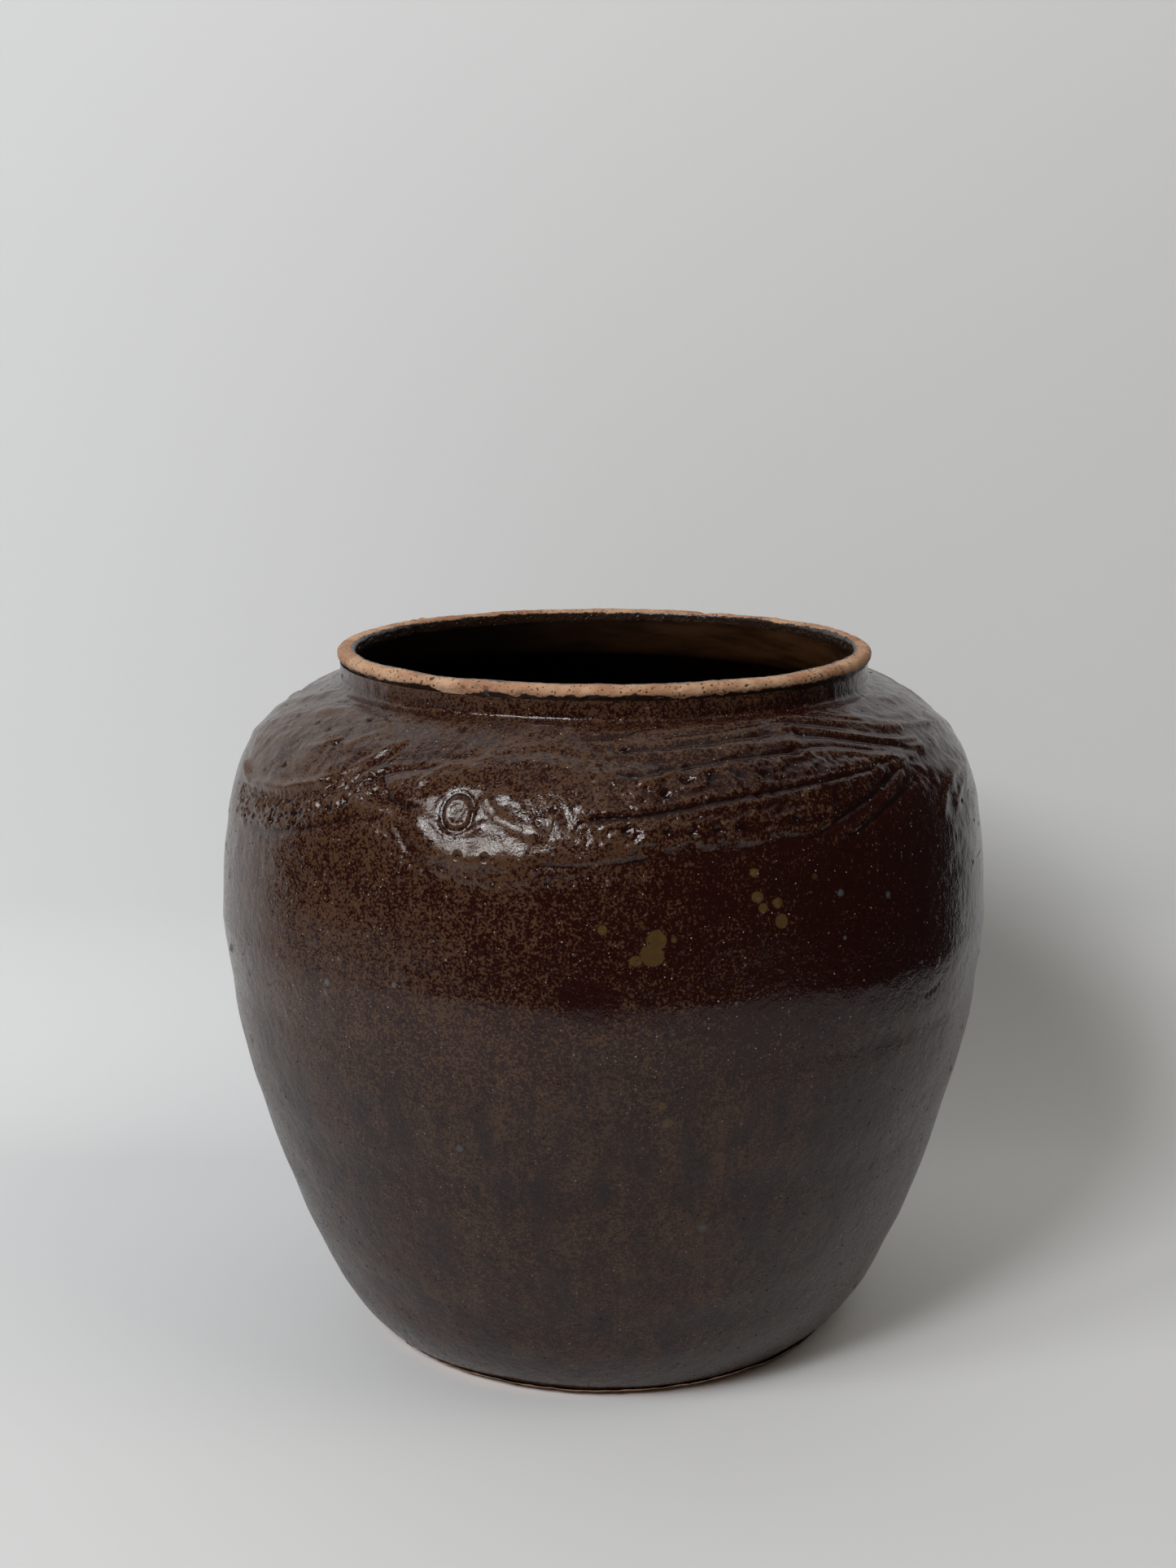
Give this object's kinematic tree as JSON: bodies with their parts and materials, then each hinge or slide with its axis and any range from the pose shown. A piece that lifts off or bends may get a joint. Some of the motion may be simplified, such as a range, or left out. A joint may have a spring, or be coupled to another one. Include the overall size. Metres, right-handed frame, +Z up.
{
  "type": "martaban jar",
  "caption": "Wide-mouthed glazed stoneware storage jar with a low upright neck, bare lip and a carp and lotus relief on the shoulder.",
  "frame": {"origin": "centre of the foot, on the plane that the jar stands on", "axes": "+Z up along the jar's axis, -Y towards the side with the carp's flank, +X to the right of it"},
  "size_m": [0.2904, 0.2904, 0.262],
  "materials": {
    "bare_clay": "unglazed tan stoneware with dark specks",
    "brown_glaze": "glossy mottled iron-brown glaze with pinholes",
    "inner_glaze": "dark glossy brown glaze over throwing rings",
    "relief_glaze": "the same brown glaze, worn lighter on the raised relief"
  },
  "bodies": {
    "root": {"base_disc": "bare_clay", "lower_wall": "bare_clay", "upper_wall": "bare_clay", "neck_ring": "bare_clay", "base_seam_coil": "bare_clay", "belly_seam_coil": "bare_clay", "outer_glaze": "brown_glaze", "inner_glaze": "inner_glaze", "front_carp_body": "relief_glaze", "front_carp_eye": "relief_glaze", "front_dorsal_fin": "relief_glaze", "front_belly_fin": "relief_glaze", "front_tail_fin": "relief_glaze", "front_fin_streamers": "relief_glaze", "front_lotus_leaf": "relief_glaze", "front_wave_band": "relief_glaze", "rear_carp_body": "relief_glaze", "rear_carp_eye": "relief_glaze", "rear_dorsal_fin": "relief_glaze", "rear_belly_fin": "relief_glaze", "rear_tail_fin": "relief_glaze", "rear_fin_streamers": "relief_glaze", "rear_lotus_leaf": "relief_glaze", "rear_wave_band": "relief_glaze"}
  },
  "joints": []
}
